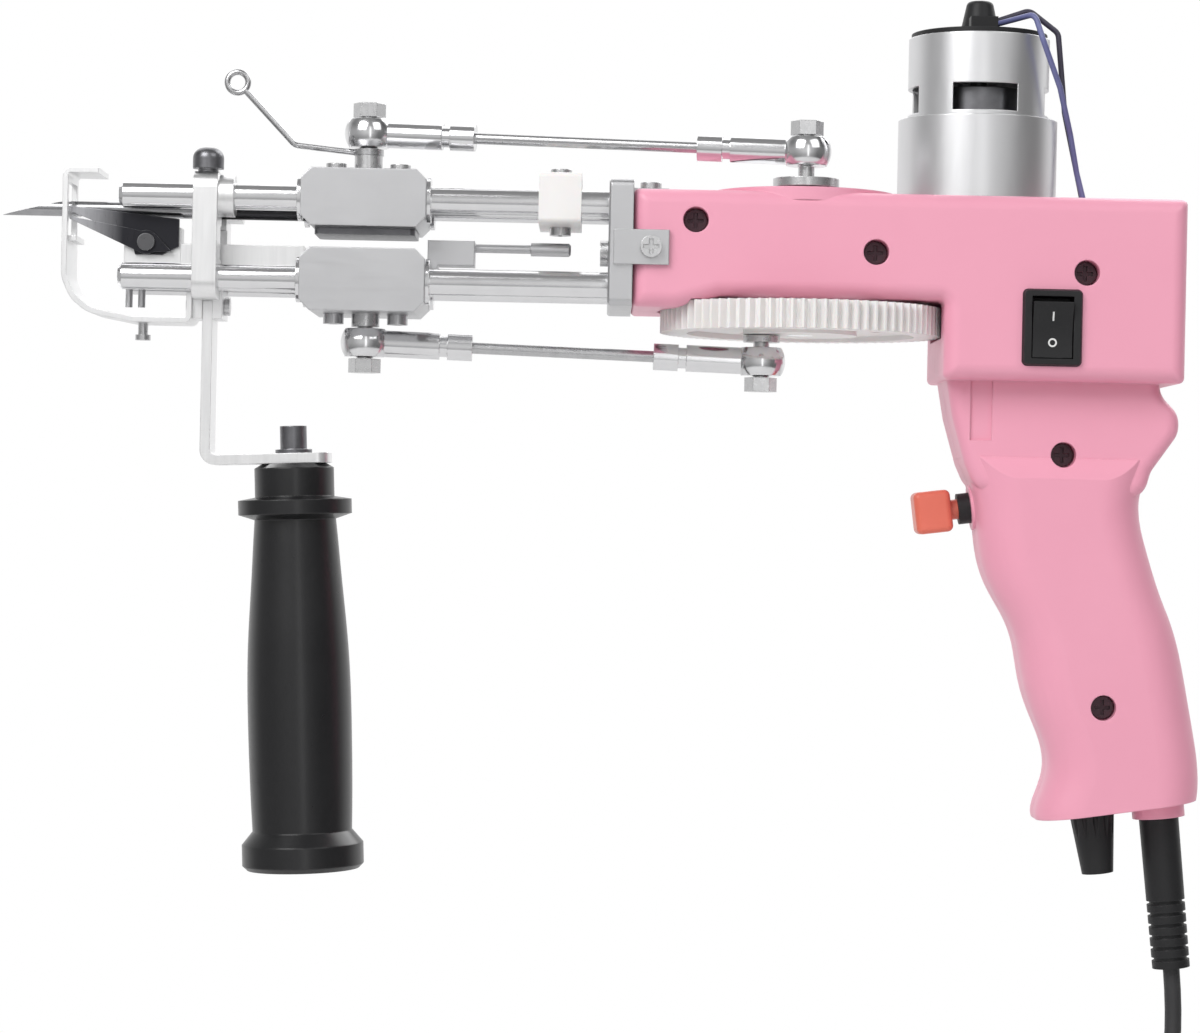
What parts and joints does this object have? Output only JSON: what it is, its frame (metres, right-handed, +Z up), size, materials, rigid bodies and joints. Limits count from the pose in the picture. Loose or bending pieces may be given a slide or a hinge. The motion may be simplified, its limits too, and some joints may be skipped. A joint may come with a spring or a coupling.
{
  "type": "tufting tool",
  "caption": "Hand-held tufting tool: motor, gears and crank drive a hollow needle and scissors along guide rods, with pistol grip, side handle and presser foot.",
  "frame": {"origin": "middle of the hand grip, on the parting plane of the housing halves", "axes": "+X from needle to the back of the tool, +Z up, -Y to the side with the rocker switch"},
  "size_m": [0.4252, 0.084, 0.4884],
  "materials": {
    "pink_shell": "satin moulded shell",
    "black_plastic": "fine moulded grain",
    "orange_plastic": "smooth",
    "cord_rubber": "matt jacket",
    "white_nylon": "machined nylon",
    "cast_aluminium": "machined and tumbled",
    "bright_steel": "polished",
    "nickel_steel": "nickel plated",
    "brushed_sheet": "brushed sheet",
    "dark_plate": "black oxide"
  },
  "bodies": {
    "frame": {"housing_left": "pink_shell", "housing_right": "pink_shell", "housing_screws": "nickel_steel", "end_block": "cast_aluminium", "frame_screws": "nickel_steel", "upper_guide_rods": "bright_steel", "lower_guide_rods": "bright_steel", "stop_collar": "white_nylon", "bearing_bracket": "cast_aluminium", "crank_bearings": "nickel_steel", "motor_can": "brushed_sheet", "motor_flux_ring": "brushed_sheet", "motor_end_cap": "black_plastic", "motor_mount": "brushed_sheet", "motor_wires": "cord_rubber", "rocker_frame": "black_plastic", "trigger_switch": "black_plastic", "speed_pot": "nickel_steel", "strain_relief": "black_plastic", "cord": "cord_rubber", "cord_coil": "cord_rubber", "cord_tie": "black_plastic", "plug_body": "black_plastic", "plug_pins": "bright_steel"},
    "crank": {"crankshaft": "bright_steel", "crank_disc": "bright_steel", "drive_gear": "white_nylon"},
    "rotor": {"motor_rotor": "bright_steel", "pinion": "bright_steel"},
    "needle_carriage": {"upper_slider": "cast_aluminium", "upper_bushings": "bright_steel", "upper_slider_screws": "nickel_steel", "needle": "bright_steel", "needle_clamp": "dark_plate", "yarn_guide": "bright_steel", "upper_front_stud": "nickel_steel"},
    "upper_rod": {"upper_link_rod": "bright_steel", "upper_rod_ends": "bright_steel", "upper_rear_stud": "nickel_steel"},
    "scissor_carriage": {"lower_slider": "cast_aluminium", "lower_bushings": "bright_steel", "scissor_screws": "nickel_steel", "scissor_arm": "brushed_sheet", "scissor_fixed_blade": "brushed_sheet", "trip_rod": "cast_aluminium", "lower_front_stud": "nickel_steel"},
    "scissor_blade": {"scissor_moving_blade": "brushed_sheet"},
    "lower_rod": {"lower_link_rod": "bright_steel", "lower_rod_ends": "bright_steel", "lower_rear_stud": "nickel_steel"},
    "foot_frame": {"front_plate": "brushed_sheet", "presser_foot": "brushed_sheet", "foot_screws": "nickel_steel", "clamp_knob": "black_plastic", "handle_strap": "brushed_sheet", "side_handle": "black_plastic", "handle_bolt": "nickel_steel"},
    "rocker": {"rocker": "black_plastic"},
    "trigger": {"trigger_button": "orange_plastic"},
    "speed_knob": {"speed_knob": "black_plastic"}
  },
  "joints": [
    {"name": "crank_turn", "type": "hinge", "parent": "frame", "child": "crank", "pos_m": [-0.0842, 0, 0.11], "axis": [0, 0, 1], "range_deg": [0, 90]},
    {"name": "motor_turn", "type": "hinge", "parent": "frame", "child": "rotor", "pos_m": [-0.0322, 0, 0.14], "axis": [0, 0, 1], "range_deg": [-336, 0]},
    {"name": "needle_slide", "type": "slide", "parent": "frame", "child": "needle_carriage", "axis": [1, 0, 0], "range_m": [0, 0.0146]},
    {"name": "scissor_slide", "type": "slide", "parent": "frame", "child": "scissor_carriage", "axis": [1, 0, 0], "range_m": [0, 0.0121]},
    {"name": "upper_rod_swing", "type": "hinge", "parent": "needle_carriage", "child": "upper_rod", "pos_m": [-0.2146, 0, 0.1413], "axis": [0, 0, 1], "range_deg": [0, 6.8]},
    {"name": "lower_rod_swing", "type": "hinge", "parent": "scissor_carriage", "child": "lower_rod", "pos_m": [-0.2146, 0, 0.0786], "axis": [0, 0, 1], "range_deg": [-5.6, 0]},
    {"name": "blade_swing", "type": "hinge", "parent": "scissor_carriage", "child": "scissor_blade", "pos_m": [-0.28, -0.0052, 0.107], "axis": [0, 1, 0], "range_deg": [0, 14.1]},
    {"name": "foot_adjust", "type": "slide", "parent": "frame", "child": "foot_frame", "axis": [1, 0, 0], "range_m": [-0.005, 0.003]},
    {"name": "rocker_tilt", "type": "hinge", "parent": "frame", "child": "rocker", "pos_m": [-0.0123, -0.026, 0.0858], "axis": [-1, 0, 0], "range_deg": [0, 18]},
    {"name": "trigger_press", "type": "slide", "parent": "frame", "child": "trigger", "axis": [0.9914, 0, 0.1305], "range_m": [0, 0.002], "stiffness_N_per_m": 400},
    {"name": "speed_turn", "type": "hinge", "parent": "frame", "child": "speed_knob", "pos_m": [0.0062, 0, -0.0566], "axis": [0.1184, 0, -0.993], "range_deg": [0, 270]}
  ],
  "couplings": [
    {"joint": "motor_turn", "follows": "crank_turn", "ratio": -3.7273},
    {"joint": "needle_slide", "follows": "crank_turn", "m_per_rad": 0.0092832},
    {"joint": "scissor_slide", "follows": "crank_turn", "m_per_rad": 0.0076757},
    {"joint": "upper_rod_swing", "follows": "crank_turn", "ratio": 0.07531},
    {"joint": "lower_rod_swing", "follows": "crank_turn", "ratio": -0.06167},
    {"joint": "blade_swing", "follows": "crank_turn", "ratio": 0.15556}
  ]
}
